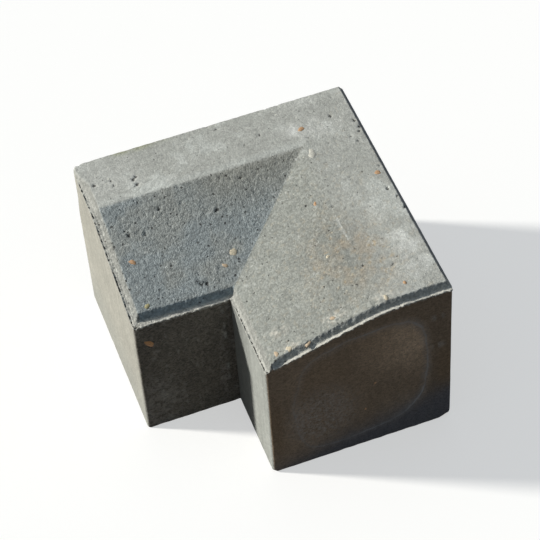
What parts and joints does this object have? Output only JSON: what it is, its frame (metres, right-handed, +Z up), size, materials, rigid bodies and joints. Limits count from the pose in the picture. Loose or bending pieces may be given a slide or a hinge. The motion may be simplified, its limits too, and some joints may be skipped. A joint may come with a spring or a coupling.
{
  "type": "internal angle kerb block",
  "caption": "L-shaped concrete kerb and paving corner block: flat strip along both outer sides, splays falling to the inner notch and meeting in a valley, chamfered top edge.",
  "frame": {"origin": "centre of the 190 mm plan square, on the bed face", "axes": "+Z up from the bed face; +X and +Y towards the two full-height outer sides; the notch is at -X, -Y"},
  "size_m": [0.19, 0.19, 0.135],
  "materials": {
    "concrete": "matt, rough grey concrete, weathered"
  },
  "bodies": {
    "root": {"kerb_block": "concrete"}
  },
  "joints": []
}
